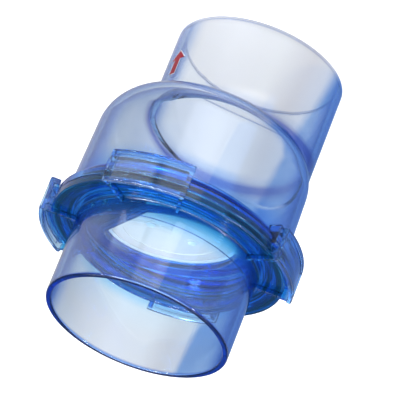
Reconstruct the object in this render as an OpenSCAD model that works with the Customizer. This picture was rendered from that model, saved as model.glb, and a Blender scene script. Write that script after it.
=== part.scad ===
// Clear twist-lock check valve for drain pipe, standing on its outlet end.
// The inlet socket points up (+Z), the flap hinge is on the +Y side, and z = 0 is the outlet's end face.

/* [Pipe ends] */
// Outside diameter of the drain pipe that the valve joins
pipe_d = 110; // [90:1:125]
// Radial room round a pipe pushed into the inlet socket
socket_gap = 0.2; // [0.1:0.05:0.5]
// Wall of the inlet socket
socket_wall = 3.8; // [3:0.1:6]
// Depth of the inlet socket, from its mouth to the pipe stop
socket_depth = 46; // [35:1:60]
// Radial height of the pipe stop
stop_step = 1.6; // [1:0.1:3]
// Height of the pipe stop above the inlet part's flange
stop_h = 10; // [6:0.5:16]
// Wall of the outlet spigot
spigot_wall = 4.2; // [3.4:0.1:5]
// Length of the outlet spigot below the chamber
spigot_len = 54.5; // [50:0.5:90]
// How much the spigot widens on its way up the chamber's rounded edge, in radius
root_draft = 0.2; // [0.1:0.05:0.25]
// Height of the drafted part of the spigot below the shoulder
root_h = 0.5; // [0.3:0.1:2]
// Chamfer on the pipe ends
end_chamfer = 0.8; // [0.4:0.1:1.5]

/* [Chamber] */
// How much wider the chamber's top is than the inlet socket, in radius
chamber_step = 11.4; // [10.6:0.2:14]
// How much the chamber's radius narrows towards the outlet
chamber_draft = 2; // [0.5:0.1:3]
// Wall of the chamber
chamber_wall = 3.8; // [3:0.1:5]
// Height of the chamber, from the spigot's shoulder to the joint
chamber_h = 87; // [80:0.5:120]
// Radius of the chamber's rounded lower edge
shoulder_round = 28; // [22:0.5:32]

/* [Twist-lock joint] */
// How far both flanges stand out from the chamber's top
rim_step = 5.6; // [5:0.2:9]
// Thickness of the chamber's flange
rim_t = 6; // [5:0.5:8]
// Height of the cone below the chamber's flange
flare_h = 5; // [3:0.5:8]
// Thickness of the inlet part's flange
flange_t = 5.2; // [5:0.1:7]
// Gap between the two parts of the joint
joint_gap = 0.3; // [0.3:0.05:0.5]
// Radial height of the locking lugs above the flange
lug_step = 3.4; // [2:0.2:5]
// Depth of the locking lugs along the valve
lug_h = 9.5; // [9:0.5:14]
// Half angle of a locking lug
lug_half = 17; // [14:0.5:18]
// Half angle of a claw
claw_half = 19; // [16:0.5:20]
// Wall of a claw
claw_wall = 3.3; // [2.4:0.1:4]
// Thickness of a claw's hooked lip
lip_t = 4; // [3:0.1:6]
// Height of the gusset ribs above the inlet part's flange
gusset_h = 4; // [2:0.5:8]
// Thickness of a gusset rib
gusset_t = 3; // [2:0.2:4]

/* [Seals] */
// Cord diameter of the face O-ring
face_cord = 3.6; // [3:0.1:4]
// Cord diameter of the plug O-ring
plug_cord = 2.6; // [2:0.1:3]
// Height of the plug that enters the chamber
plug_h = 11; // [9:0.5:14]
// Radial wall of the plug
plug_wall = 3.8; // [3.4:0.1:5]

/* [Flap seat] */
// Width of the seat plate round the port
port_ledge = 11.6; // [11:0.2:15]
// How much the port's straight edge cuts off its circle on the hinge side
port_cut = 8.8; // [6:0.2:12]
// Thickness of the seat plate
plate_t = 4; // [3:0.2:6]
// Height of the raised seat lip round the port
seat_lip = 1; // [0.6:0.1:1.5]
// Tilt of the seat, with its hinge side nearer the inlet
seat_tilt = 9.5; // [4:0.5:14]
// Height of the seat's centre below the top of the inlet part's flange
seat_drop = 5.4; // [3:0.2:8]
// Length of the sleeve below the inlet part's flange
sleeve_len = 18; // [16:0.5:24]

/* [Flap] */
// Overlap of the flap over the port's edge
flap_lap = 4; // [3:0.2:5]
// Thickness of the flap disc
flap_t = 3.4; // [2.5:0.1:5]
// Thickness of the flap's rubber seal
seal_t = 2.4; // [1.5:0.1:4]
// Width of the seal inside the port's edge
seal_in = 2.2; // [1:0.1:4]
// Gap between the closed seal and the seat lip
seat_gap = 0.3; // [0.3:0.05:0.5]
// Height of the ribs on the flap's back
rib_h = 2.4; // [1:0.2:4]
// Distance of each retainer rivet from the flap's centre
rivet_y = 15.5; // [8:0.5:20]
// Radius of a retainer rivet's shank
rivet_r = 1.6; // [1:0.1:2.5]

/* [Flap hinge] */
// Radius of the hinge pin
pin_r = 2; // [1.5:0.1:3]
// Radial running clearance on the hinge pin
pin_gap = 0.06; // [0.03:0.01:0.1]
// Wall of the flap's knuckles round the pin
knuckle_wall = 2.1; // [1.6:0.1:3]
// Length of each knuckle
knuckle_len = 7; // [5:0.5:9]
// Thickness of each ear of the hinge bracket
ear_t = 3; // [2:0.2:4]
// Room between the bracket's ears and the sleeve
ear_room = 1.8; // [1:0.1:3]
// Thickness of the bracket's base
bracket_t = 2.4; // [2:0.2:4]
// Distance from the flap's straight edge to the pin
pin_reach = 5; // [4.6:0.2:6]
// Radius of a bracket screw's shank
screw_r = 1.5; // [1:0.1:2]
// Distance of each bracket screw from the middle
screw_x = 5.5; // [4.5:0.5:6]

/* [Flow arrow] */
// Length of the flow arrow
arrow_len = 19; // [14:0.5:26]
// Width across the arrow's head
arrow_w = 15.6; // [8:0.2:16]
// Length of the arrow's head
arrow_head = 7; // [5:0.5:12]
// Width of the arrow's shaft
arrow_shaft = 6.5; // [4:0.5:10]
// Thickness of the arrow
arrow_t = 0.35; // [0.2:0.05:0.6]
// Height of the arrow's tip above the outlet's end
arrow_z = 22; // [10:0.5:25]

/* [Hidden] */
$fn = 96;
eps = 0.01;
claw_count = 4;
claw_step = 360 / claw_count;
first_claw = claw_step / 2;

spigot_r = pipe_d / 2;
spigot_bore = spigot_r - spigot_wall;
socket_bore = spigot_r + socket_gap;
socket_r = socket_bore + socket_wall;
stop_bore = socket_bore - stop_step;
chamber_r = socket_r + chamber_step;
flange_r = chamber_r + rim_step;
port_r = stop_bore - port_ledge;
port_flat = port_r - port_cut;

shoulder_z = spigot_len;
joint_z = shoulder_z + chamber_h;
shoulder_r = chamber_r - chamber_draft;
chamber_bore = chamber_r - chamber_wall;
shoulder_bore = shoulder_r - chamber_wall;
bore_round = shoulder_round - chamber_wall;
flare_z = joint_z - rim_t - flare_h;
rim_edge = 1.5;
// Away from the hinge, the spigot's bore lies just inside the chamber's bore.
bore_inset = 0.7;
spigot_y = -(shoulder_bore - spigot_bore - bore_inset);

flange_z = joint_z + joint_gap;
flange_top = flange_z + flange_t;
stop_z = flange_top + stop_h;
mouth_z = stop_z + socket_depth;

lug_r = flange_r + lug_step;
claw_bore = lug_r + joint_gap;
// How far pieces of one moulding reach into each other, so that they join.
root = 1.2;
claw_r = claw_bore + claw_wall;
lip_top = joint_z - lug_h - joint_gap;
claw_z = lip_top - lip_t;
claw_top = flange_top + gusset_h;
lip_bore = flange_r + joint_gap;
gusset_angle = gusset_t / claw_r * 180 / PI;
web_step = 0.5;
stop_room = 0.5;
stop_angle = 2.5;
stop_from = claw_half + stop_room;
stop_to = stop_from + stop_angle;

plug_gap = 0.4;
plug_r = chamber_bore - plug_gap;
plug_z = flange_z - plug_h;
// The plug O-ring stands proud of the plug, and both O-rings have a little room in their grooves.
plug_seal_proud = 0.3;
groove_gap = 0.1;
groove_room = 0.5;
plug_seal_z = plug_z + plug_h / 2 - groove_room;
plug_seal_r = plug_r - plug_cord / 2 + plug_seal_proud;
plug_groove_r = plug_seal_r - plug_cord / 2 - groove_gap;
plug_groove_h = plug_cord + groove_room;
// The face O-ring lies a little outside the middle between the plug and the flange's edge.
face_seal_shift = 1.6;
face_seal_r = (plug_r + flange_r) / 2 + face_seal_shift;
face_seal_z = flange_z + face_cord / 2;
face_groove_w = face_cord + groove_room;
face_groove_h = face_cord + groove_gap;

seat_z = flange_top - seat_drop;
lip_w = 2;
sleeve_z = flange_z - sleeve_len;
flap_r = port_r + flap_lap;
flap_flat = port_flat + flap_lap;
seal_top = -plate_t - seat_lip - seat_gap;
flap_top = seal_top - seal_t;
flap_bottom = flap_top - flap_t;
seal_inset = 0.5;
seal_r = flap_r - seal_inset;
seal_flat = flap_flat - seal_inset;
seal_bore = port_r - seal_in;
seal_bore_flat = port_flat - seal_in;
retainer_fit = 0.1;
retainer_step = 0.3;
retainer_t = seal_t - retainer_step;

pin_y = flap_flat + pin_reach;
knuckle_bore = pin_r + pin_gap;
knuckle_r = knuckle_bore + knuckle_wall;
bracket_bottom = -plate_t - bracket_t;
// Room between the knuckles and the bracket's base, and between the ears and the flap's straight edge.
knuckle_room = 0.6;
ear_edge = 0.7;
pin_z = bracket_bottom - knuckle_room - knuckle_r;
ear_r = pin_reach - ear_edge;
// The sleeve's bore narrows towards the hinge side, which sets how far apart the ears can stand.
ear_back = pin_y * cos(seat_tilt) - pin_z * sin(seat_tilt) + ear_r;
ear_out = sqrt(stop_bore * stop_bore - ear_back * ear_back) - ear_room;
ear_x = ear_out - ear_t;
knuckle_out = ear_x - joint_gap;
clip_t = 1;
clip_wall = 1.8;
clip_r = pin_r + clip_wall;
clip_mouth = pin_r * 1.2;
pin_tip = 1.2;
pin_half = ear_out + clip_t + pin_tip;
bracket_step = 1.6;
bracket_tail = 4;
bracket_y = flap_flat + bracket_step;
bracket_back = pin_y + knuckle_r + bracket_tail;
screw_head_r = screw_r * 1.8;
screw_head_t = 2;
screw_edge = 0.4;
screw_y = bracket_back - screw_head_r - screw_edge;
// A bracket screw stops short of the seat plate's top face.
screw_skin = 0.8;
screw_grip = plate_t - screw_skin;
rivet_head_r = rivet_r * 1.7;
rivet_head_t = 1;
// Ribs on the flap's back: one that follows the edge, and one in line with each knuckle.
rib_inset = 6;
rib_t = 2;
rib_reach = 0.75 * flap_r;
arm_grip = 8;

// A sector of a ring between two angles, measured from +X.
module ring_sector(r_in, r_out, from, to, h) {
    rotate([0, 0, from])
        rotate_extrude(angle = to - from)
            translate([r_in, 0]) square([r_out - r_in, h]);
}

// The seat's own frame: x along the hinge, z along the seat's normal, with the plate's top face at z = 0.
module on_seat() {
    translate([0, 0, seat_z]) rotate([seat_tilt, 0, 0]) children();
}

// A disc with one straight edge on the hinge side.
module d_shape(r, flat) {
    intersection() {
        circle(r = r);
        translate([-r - 1, -r - 1]) square([2 * r + 2, r + 1 + flat]);
    }
}

module d_ring(r_out, flat_out, r_in, flat_in) {
    difference() {
        d_shape(r_out, flat_out);
        d_shape(r_in, flat_in);
    }
}

// Half section of the chamber: a drafted wall on a rounded lower edge, closed to the axis.
module chamber_section(low_r, top_r, low_z, top_z, corner) {
    polygon([[0, low_z + corner], [low_r, low_z + corner], [top_r, flare_z], [top_r, top_z], [0, top_z]]);
    translate([0, low_z]) square([low_r - corner, corner + eps]);
    intersection() {
        translate([low_r - corner, low_z + corner]) circle(r = corner);
        translate([0, low_z]) square([low_r, corner + eps]);
    }
}

module rim_section() {
    polygon([[chamber_r - chamber_wall / 2, flare_z], [chamber_r, flare_z], [flange_r - rim_edge, joint_z - rim_t],
             [flange_r, joint_z - rim_t + end_chamfer], [flange_r, joint_z], [chamber_r - chamber_wall / 2, joint_z]]);
}

module locking_lugs() {
    for (i = [0 : claw_count - 1]) {
        middle = first_claw + i * claw_step;
        translate([0, 0, joint_z - lug_h])
            ring_sector(chamber_r - root, lug_r, middle - lug_half, middle + stop_to, lug_h - web_step);
        // The stop that a claw's lip meets when the joint is locked.
        translate([0, 0, claw_z])
            ring_sector(chamber_r - root / 2, lug_r - joint_gap, middle + stop_from, middle + stop_to - joint_gap,
                        root + lip_t);
    }
}

module chamber_outside() {
    rotate_extrude() chamber_section(shoulder_r, chamber_r, shoulder_z, joint_z, shoulder_round);
    rotate_extrude() rim_section();
    translate([0, spigot_y, 0]) {
        cylinder(r1 = spigot_r - end_chamfer, r2 = spigot_r, h = end_chamfer);
        translate([0, 0, end_chamfer]) cylinder(r = spigot_r, h = shoulder_z - root_h - end_chamfer);
        translate([0, 0, shoulder_z - root_h])
            cylinder(r1 = spigot_r, r2 = spigot_r + root_draft, h = shoulder_round);
    }
}

module chamber_inside() {
    rotate_extrude()
        chamber_section(shoulder_bore, chamber_bore, shoulder_z + chamber_wall, joint_z + 1, bore_round);
    translate([0, spigot_y, -1]) cylinder(r = spigot_bore, h = shoulder_z + shoulder_round);
}

module chamber_body() {
    color([0.35, 0.5, 0.85, 0.4])
        difference() {
            union() {
                chamber_outside();
                locking_lugs();
            }
            chamber_inside();
            arrow_solid(spigot_r - arrow_t - 0.02, spigot_r + 1);
        }
}

// The arrow on the spigot's hinge side, between two radii of the spigot. It points at the outlet's end.
module arrow_solid(r_in, r_out) {
    tail_z = arrow_z + arrow_len;
    neck_z = arrow_z + arrow_head;
    translate([0, spigot_y, 0])
        intersection() {
            difference() {
                translate([0, 0, arrow_z - 1]) cylinder(r = r_out, h = arrow_len + 2);
                translate([0, 0, arrow_z - 2]) cylinder(r = r_in, h = arrow_len + 4);
            }
            rotate([90, 0, 0]) translate([0, 0, -spigot_r - 2]) linear_extrude(height = spigot_r)
                polygon([[0, arrow_z], [arrow_w / 2, neck_z], [arrow_shaft / 2, neck_z],
                         [arrow_shaft / 2, tail_z], [-arrow_shaft / 2, tail_z], [-arrow_shaft / 2, neck_z],
                         [-arrow_w / 2, neck_z]]);
        }
}

module flow_arrow() {
    color([0.7, 0.1, 0.22]) arrow_solid(spigot_r - arrow_t, spigot_r);
}

module socket_section() {
    difference() {
        union() {
            polygon([[stop_bore, sleeve_z], [socket_r, sleeve_z], [socket_r, mouth_z - end_chamfer],
                     [socket_r - end_chamfer, mouth_z], [stop_bore, mouth_z]]);
            translate([socket_r - eps, flange_z]) square([flange_r - socket_r + eps, flange_t]);
            translate([plug_r - plug_wall, plug_z]) square([plug_wall, plug_h + eps]);
        }
        translate([stop_bore - 1, stop_z]) square([stop_step + 1, socket_depth + 1]);
        polygon([[socket_bore - eps, mouth_z - end_chamfer], [socket_bore + end_chamfer, mouth_z + eps],
                 [socket_bore - eps, mouth_z + eps]]);
        translate([plug_groove_r, plug_seal_z - plug_groove_h / 2]) square([plug_cord * 2, plug_groove_h]);
        translate([face_seal_r - face_groove_w / 2, flange_z - 1]) square([face_groove_w, face_groove_h + 1]);
    }
}

// One claw: a curved wall that reaches down past the flanges, a web that joins it to the flange,
// a lip that hooks under a lug, and two gusset ribs that tie the wall to the socket.
module claw() {
    web_low = flange_z + web_step;
    web_high = flange_top - web_step;
    rotate([0, 0, -claw_half])
        rotate_extrude(angle = 2 * claw_half)
            polygon([[flange_r - root, web_low], [claw_bore, web_low], [claw_bore, lip_top],
                     [lip_bore, lip_top], [lip_bore, claw_z], [claw_r - end_chamfer, claw_z],
                     [claw_r, claw_z + end_chamfer], [claw_r, claw_top - end_chamfer],
                     [claw_r - end_chamfer, claw_top], [claw_bore, claw_top], [claw_bore, web_high],
                     [flange_r - root, web_high]]);
    for (from = [web_step - claw_half, claw_half - web_step - gusset_angle])
        translate([0, 0, flange_top - root])
            ring_sector(socket_r - root, claw_bore + root, from, from + gusset_angle,
                        root + gusset_h - web_step);
}

module seat_plate() {
    intersection() {
        translate([0, 0, sleeve_z]) cylinder(r = (stop_bore + socket_r) / 2, h = stop_z - sleeve_z);
        on_seat() {
            translate([0, 0, -plate_t]) linear_extrude(height = plate_t)
                difference() {
                    circle(r = socket_r + 6);
                    d_shape(port_r, port_flat);
                }
            translate([0, 0, -plate_t - seat_lip]) linear_extrude(height = seat_lip + eps)
                d_ring(port_r + lip_w, port_flat + lip_w, port_r, port_flat);
        }
    }
}

module inlet_body() {
    color([0.3, 0.48, 0.88, 0.4])
        difference() {
            union() {
                rotate_extrude() socket_section();
                for (i = [0 : claw_count - 1]) rotate([0, 0, first_claw + i * claw_step]) claw();
                seat_plate();
            }
            on_seat() bracket_holes(screw_r, -plate_t - 1, 1 + screw_grip);
        }
}

// Screw holes at the two bracket screws, from one height of the seat's frame up.
module bracket_holes(r, from, h) {
    for (x = [-screw_x, screw_x]) translate([x, screw_y, from]) cylinder(r = r, h = h);
}

module face_o_ring() {
    color([0.06, 0.07, 0.09])
        rotate_extrude() translate([face_seal_r, face_seal_z]) circle(r = face_cord / 2);
}

module plug_o_ring() {
    color([0.06, 0.07, 0.09])
        rotate_extrude() translate([plug_seal_r, plug_seal_z]) circle(r = plug_cord / 2);
}

// The bracket's base follows the sleeve's bore, and its two ears hold the pin.
module hinge_bracket() {
    color([0.1, 0.35, 0.5])
        difference() {
            intersection() {
                translate([0, 0, sleeve_z]) cylinder(r = stop_bore - joint_gap, h = stop_z - sleeve_z);
                on_seat() {
                    translate([-ear_out, bracket_y, bracket_bottom])
                        cube([2 * ear_out, bracket_back - bracket_y, bracket_t]);
                    for (x = [-ear_out, ear_x]) ear(x);
                }
            }
            on_seat() {
                bracket_holes(screw_r + 0.1, bracket_bottom - 1, bracket_t + 2);
                translate([-pin_half, pin_y, pin_z]) rotate([0, 90, 0])
                    cylinder(r = knuckle_bore, h = 2 * pin_half);
            }
        }
}

module ear(x) {
    translate([x, pin_y, pin_z]) rotate([0, 90, 0]) cylinder(r = ear_r, h = ear_t);
    translate([x, pin_y - ear_r, pin_z]) cube([ear_t, 2 * ear_r, bracket_bottom - pin_z + eps]);
}

module bracket_screws() {
    color([0.75, 0.76, 0.78])
        on_seat() {
            bracket_holes(screw_r, bracket_bottom, bracket_t + screw_grip);
            bracket_holes(screw_head_r, bracket_bottom - screw_head_t, screw_head_t);
        }
}

module hinge_pin() {
    color([0.78, 0.79, 0.8])
        on_seat() translate([-pin_half, pin_y, pin_z]) rotate([0, 90, 0]) cylinder(r = pin_r, h = 2 * pin_half);
}

module pin_clip(x) {
    on_seat() translate([x, pin_y, pin_z]) rotate([0, 90, 0])
        difference() {
            cylinder(r = clip_r, h = clip_t);
            translate([0, 0, -1]) cylinder(r = pin_r, h = clip_t + 2);
            translate([-clip_r - 1, -clip_mouth / 2, -1]) cube([clip_r + 1, clip_mouth, clip_t + 2]);
        }
}

module pin_clip_left() {
    color([0.3, 0.31, 0.33]) pin_clip(-ear_out - clip_t);
}

module pin_clip_right() {
    color([0.3, 0.31, 0.33]) pin_clip(ear_out);
}

// A knuckle on the pin, with the arm that joins it to the flap's straight edge.
module knuckle(x) {
    translate([x, pin_y, pin_z]) rotate([0, 90, 0]) cylinder(r = knuckle_r, h = knuckle_len);
    translate([x, flap_flat - arm_grip, pin_z])
        cube([knuckle_len, pin_reach + arm_grip, flap_top - pin_z]);
}

module flap_ribs() {
    translate([0, 0, flap_bottom - rib_h]) linear_extrude(height = rib_h + eps) {
        d_ring(flap_r - rib_inset, flap_flat - rib_inset, flap_r - rib_inset - rib_t,
               flap_flat - rib_inset - rib_t);
        for (x = [-knuckle_out + knuckle_len / 2, knuckle_out - knuckle_len / 2])
            translate([x - rib_t / 2, -rib_reach]) square([rib_t, rib_reach + flap_flat - rib_inset - rib_t / 2]);
    }
}

module flap_disc() {
    color([0.8, 0.88, 0.94, 0.5])
        on_seat()
            difference() {
                union() {
                    translate([0, 0, flap_bottom]) linear_extrude(height = flap_t) d_shape(flap_r, flap_flat);
                    knuckle(-knuckle_out);
                    knuckle(knuckle_out - knuckle_len);
                    flap_ribs();
                }
                translate([-pin_half, pin_y, pin_z]) rotate([0, 90, 0])
                    cylinder(r = knuckle_bore, h = 2 * pin_half);
                rivet_shanks(rivet_r, flap_bottom - 1, flap_t + 2);
            }
}

module rivet_shanks(r, from, h) {
    for (y = [-rivet_y, rivet_y]) translate([0, y, from]) cylinder(r = r, h = h);
}

module flap_seal() {
    color([0.1, 0.14, 0.17])
        on_seat() translate([0, 0, flap_top]) linear_extrude(height = seal_t)
            d_ring(seal_r, seal_flat, seal_bore, seal_bore_flat);
}

module seal_retainer() {
    color([0.83, 0.9, 0.95, 0.6])
        on_seat()
            difference() {
                translate([0, 0, flap_top]) linear_extrude(height = retainer_t)
                    d_shape(seal_bore - retainer_fit, seal_bore_flat - retainer_fit);
                rivet_shanks(rivet_r, flap_top - 1, retainer_t + 2);
            }
}

module retainer_rivets() {
    color([0.7, 0.77, 0.82])
        on_seat() {
            rivet_shanks(rivet_r, flap_bottom, flap_t + retainer_t);
            rivet_shanks(rivet_head_r, flap_top + retainer_t, rivet_head_t);
            rivet_shanks(rivet_head_r, flap_bottom - rivet_head_t, rivet_head_t);
        }
}

chamber_body();
inlet_body();
face_o_ring();
plug_o_ring();
hinge_bracket();
bracket_screws();
hinge_pin();
pin_clip_left();
pin_clip_right();
flap_disc();
flap_seal();
seal_retainer();
retainer_rivets();
flow_arrow();
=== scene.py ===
"""Looks of a clear twist-lock check valve: moulded bodies, seals, hinged flap and flow arrow."""
import math

import bmesh
import bpy
from mathutils import Matrix, Quaternion, Vector


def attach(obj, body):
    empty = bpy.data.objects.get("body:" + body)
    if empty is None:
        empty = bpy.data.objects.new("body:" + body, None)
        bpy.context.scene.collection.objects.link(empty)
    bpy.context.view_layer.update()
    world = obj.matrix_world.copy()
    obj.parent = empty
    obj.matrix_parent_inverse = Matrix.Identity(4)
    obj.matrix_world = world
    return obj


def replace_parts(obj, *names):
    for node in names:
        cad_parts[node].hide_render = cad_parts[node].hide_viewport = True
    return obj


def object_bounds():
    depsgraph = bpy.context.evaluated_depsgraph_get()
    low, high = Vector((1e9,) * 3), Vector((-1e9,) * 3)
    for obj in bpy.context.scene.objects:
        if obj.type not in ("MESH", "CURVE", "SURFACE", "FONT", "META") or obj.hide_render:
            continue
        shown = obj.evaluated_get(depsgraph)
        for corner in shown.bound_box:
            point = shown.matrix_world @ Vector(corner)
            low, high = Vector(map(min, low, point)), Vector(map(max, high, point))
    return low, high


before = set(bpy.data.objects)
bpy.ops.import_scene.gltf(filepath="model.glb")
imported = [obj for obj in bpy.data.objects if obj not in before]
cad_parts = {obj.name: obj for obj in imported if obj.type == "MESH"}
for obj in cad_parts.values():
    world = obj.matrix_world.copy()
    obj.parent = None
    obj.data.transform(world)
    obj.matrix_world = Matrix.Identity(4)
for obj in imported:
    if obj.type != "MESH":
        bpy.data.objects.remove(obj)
cad_low, cad_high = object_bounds()

# The pieces' outlines and places are in millimetres. The camera, the studio and the shaders use metres.
MM = 0.001

# ---------------------------------------------------------------- studio

VIEW_AZIMUTH = 115.0
VIEW_ELEVATION = 26.98
VIEW_ROLL = -158.29
VIEW_AIM = (0.0015, -0.0076, 0.1052)
VIEW_DISTANCE = 2.3376
LENS = 339.3
SENSOR_WIDTH = 36.0
CLIP_START = 0.05
CLIP_END = 60.0

# Each light faces LIGHTS_AIM: azimuth and elevation in degrees, then distance, width, height and power.
LIGHTS_AIM = (0.0, 0.0, 0.12)
SOFT_BOXES = {
    "key_box": (165, 50, 1.4, 0.3, 0.6, 12),
    "top_box": (120, 84, 1.3, 0.35, 0.35, 1.5),
    "long_strip": (115, 62, 1.4, 2.4, 0.04, 10),
    "edge_strip": (60, 30, 1.4, 0.05, 1.0, 9),
    "left_strip": (175, 20, 1.4, 0.05, 0.9, 7),
}
CLEAR_BOUNCES = 32
GLOSSY_BOUNCES = 8

# The room from the horizon up to the ceiling. A stop's position is the height of the direction looked in.
ROOM_STOPS = ((0.0, (0.85, 0.87, 0.9)), (0.1, (0.05, 0.15, 0.32)), (0.5, (0.09, 0.2, 0.38)),
              (0.74, (0.3, 0.35, 0.5)), (0.8, (2.3, 2.25, 2.2)))

FLOOR_SIZE = 14.0
FLOOR_ROUGHNESS = 0.9
FLOOR_PAPER = 0.6
FLOOR_LIFT = 0.6
TABLE_DIM = 0.3

# A painted shadow lies on the table where it shows through the valve's far side. It is painted shade that
# darkens to one side into the valve's painted blue shadow. It shades along the side direction below, and a
# position of MIDDLE on the two ramps below is a line through the valve's foot.
MIDDLE = 0.5
SHADOW_SIDE = (0.405, -0.914, 0.0)
SHADOW_SPREAD = 5.0
# Painted shade across the table: greys that darken towards both sides, ending in a painted blue shadow.
SHADOW_STOPS = ((0.18, (0.37, 0.38, 0.39)), (0.33, (0.5, 0.5, 0.51)), (0.45, (0.58, 0.58, 0.59)),
              (0.6, (0.56, 0.56, 0.56)), (0.7, (0.44, 0.43, 0.44)), (0.765, (0.44, 0.45, 0.48)),
              (0.8, (0.11, 0.21, 0.4)))
# The table's glow drops along AHEAD, towards the viewer, so that the walls don't mirror a bright front.
AHEAD = (0.906, 0.423, 0.0)
AHEAD_STOPS = ((0.535, 1.0), (0.6, 0.08))
# Far from the valve, in metres, the painted shadow gives way to pale paper.
FAR_STOPS = ((0.55, 0.0), (0.95, 1.0))
FAR_PAPER = (0.7, 0.71, 0.73)
# The table's glow by the distance from the valve's axis, in metres.
TABLE_STOPS = ((0.05, (1.55, 1.52, 1.48)), (0.12, (1.33, 1.3, 1.25)), (0.45, (1.1, 1.08, 1.04)))
# Two brighter patches of the table: strength, sector by bearing / 180 degrees, and reach by distance. The
# first fills the walls, and the second is what the claws mirror.
BRIGHT_PATCHES = (
    (3.0, ((0.43, 0.0), (0.46, 1.0), (0.76, 1.0), (0.79, 0.0)),
     ((0.13, 0.0), (0.14, 1.0), (0.5, 1.0), (0.9, 0.0))),
    (4.0, ((0.8, 0.0), (0.82, 1.0), (1.0, 1.0)),
     ((0.31, 0.0), (0.33, 1.0), (0.42, 1.0), (0.44, 0.0))),
)


def direction(azimuth, elevation):
    """The way from the valve towards a camera or a light."""
    a, e = math.radians(azimuth), math.radians(elevation)
    return Vector((math.sin(a) * math.cos(e), -math.cos(a) * math.cos(e), math.sin(e)))


def make_camera():
    """A long lens above the inlet end, rolled so that the valve leans with its outlet up and to the right."""
    back = direction(VIEW_AZIMUTH, VIEW_ELEVATION)
    data = bpy.data.cameras.new("camera")
    data.sensor_width = SENSOR_WIDTH
    data.lens = LENS
    data.clip_start = CLIP_START
    data.clip_end = CLIP_END
    camera = bpy.data.objects.new("camera", data)
    bpy.context.scene.collection.objects.link(camera)
    camera.location = Vector(VIEW_AIM) + back * VIEW_DISTANCE
    camera.rotation_mode = "QUATERNION"
    camera.rotation_quaternion = Quaternion(back, math.radians(VIEW_ROLL)) @ back.to_track_quat("Z", "Y")
    bpy.context.scene.camera = camera


def soft_box(name, azimuth, elevation, distance, width, height, power):
    """A rectangular soft light that faces the valve."""
    back = direction(azimuth, elevation)
    data = bpy.data.lights.new(name, "AREA")
    data.shape = "RECTANGLE"
    data.size = width
    data.size_y = height
    data.energy = power
    light = bpy.data.objects.new(name, data)
    bpy.context.scene.collection.objects.link(light)
    light.location = Vector(LIGHTS_AIM) + back * distance
    light.rotation_mode = "QUATERNION"
    light.rotation_quaternion = back.to_track_quat("Z", "Y")
    light.visible_camera = False


def add_node(tree, kind, **inputs):
    """A shader node with some of its inputs set. An underscore in a name stands for a space."""
    node = tree.nodes.new("ShaderNode" + kind)
    for name, value in inputs.items():
        node.inputs[name.replace("_", " ")].default_value = value
    return node


def feed(tree, socket, value):
    """Gives an input a link from another socket, or a fixed value. None leaves it alone."""
    if isinstance(value, bpy.types.NodeSocket):
        tree.links.new(value, socket)
    elif value is not None:
        socket.default_value = value


def math_node(tree, operation, *values, clamp=False):
    """A Math node whose inputs are sockets or numbers."""
    node = tree.nodes.new("ShaderNodeMath")
    node.operation = operation
    node.use_clamp = clamp
    for socket, value in zip(node.inputs, values):
        feed(tree, socket, value)
    return node.outputs["Value"]


def vector_node(tree, operation, a, b=None):
    """A Vector Math node whose inputs are sockets or fixed vectors. Returns a number or a vector."""
    node = tree.nodes.new("ShaderNodeVectorMath")
    node.operation = operation
    feed(tree, node.inputs[0], a)
    if operation == "SCALE":
        feed(tree, node.inputs["Scale"], b)
    else:
        feed(tree, node.inputs[1], b)
    return node.outputs["Value" if operation in ("DOT_PRODUCT", "LENGTH") else "Vector"]


def mix_node(tree, kind, factor, a, b, blend="MIX"):
    """A Mix node for numbers (FLOAT) or colours (RGBA). Its inputs are sockets or values."""
    node = tree.nodes.new("ShaderNodeMix")
    node.data_type = kind
    node.blend_type = blend
    for label, value in (("Factor", factor), ("A", a), ("B", b)):
        feed(tree, node.inputs[label], value)
    return node.outputs["Result"]


def opaque(colour):
    """A colour with its alpha, as a colour socket takes it."""
    return (*colour, 1.0)


def grey(level):
    """A colour with no hue."""
    return (level, level, level)


def colour_ramp(tree, value, stops):
    """A colour ramp from (position, colour) stops, driven by a socket."""
    node = tree.nodes.new("ShaderNodeValToRGB")
    ramp = node.color_ramp
    while len(ramp.elements) < len(stops):
        ramp.elements.new(0.5)
    for element, (position, colour) in zip(ramp.elements, stops):
        element.position = position
        element.color = opaque(colour)
    tree.links.new(value, node.inputs["Fac"])
    return node.outputs["Color"]


def mask_ramp(tree, value, stops):
    """A ramp from (position, level) stops, for masks."""
    return colour_ramp(tree, value, [(position, grey(level)) for position, level in stops])


def split_place(tree, place):
    """The X, Y and Z of a place, as a node with an output for each."""
    node = tree.nodes.new("ShaderNodeSeparateXYZ")
    tree.links.new(place, node.inputs["Vector"])
    return node


def object_place(tree):
    """A socket with the place of each point, in metres from the valve's origin."""
    return tree.nodes.new("ShaderNodeTexCoord").outputs["Object"]


def make_world():
    """A room with dark walls and a pale ceiling. It shows as plain white behind the valve."""
    world = bpy.data.worlds.new("studio")
    bpy.context.scene.world = world
    world.use_nodes = True
    tree = world.node_tree
    room = tree.nodes["Background"]
    looked_in = split_place(tree, tree.nodes.new("ShaderNodeTexCoord").outputs["Generated"])
    tree.links.new(colour_ramp(tree, looked_in.outputs["Z"], ROOM_STOPS), room.inputs["Color"])
    backdrop = add_node(tree, "Background", Color=opaque(grey(1.0)), Strength=1.0)
    rays = tree.nodes.new("ShaderNodeLightPath")
    mix = tree.nodes.new("ShaderNodeMixShader")
    tree.links.new(rays.outputs["Is Camera Ray"], mix.inputs["Fac"])
    tree.links.new(room.outputs["Background"], mix.inputs[1])
    tree.links.new(backdrop.outputs["Background"], mix.inputs[2])
    tree.links.new(mix.outputs["Shader"], tree.nodes["World Output"].inputs["Surface"])


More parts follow.
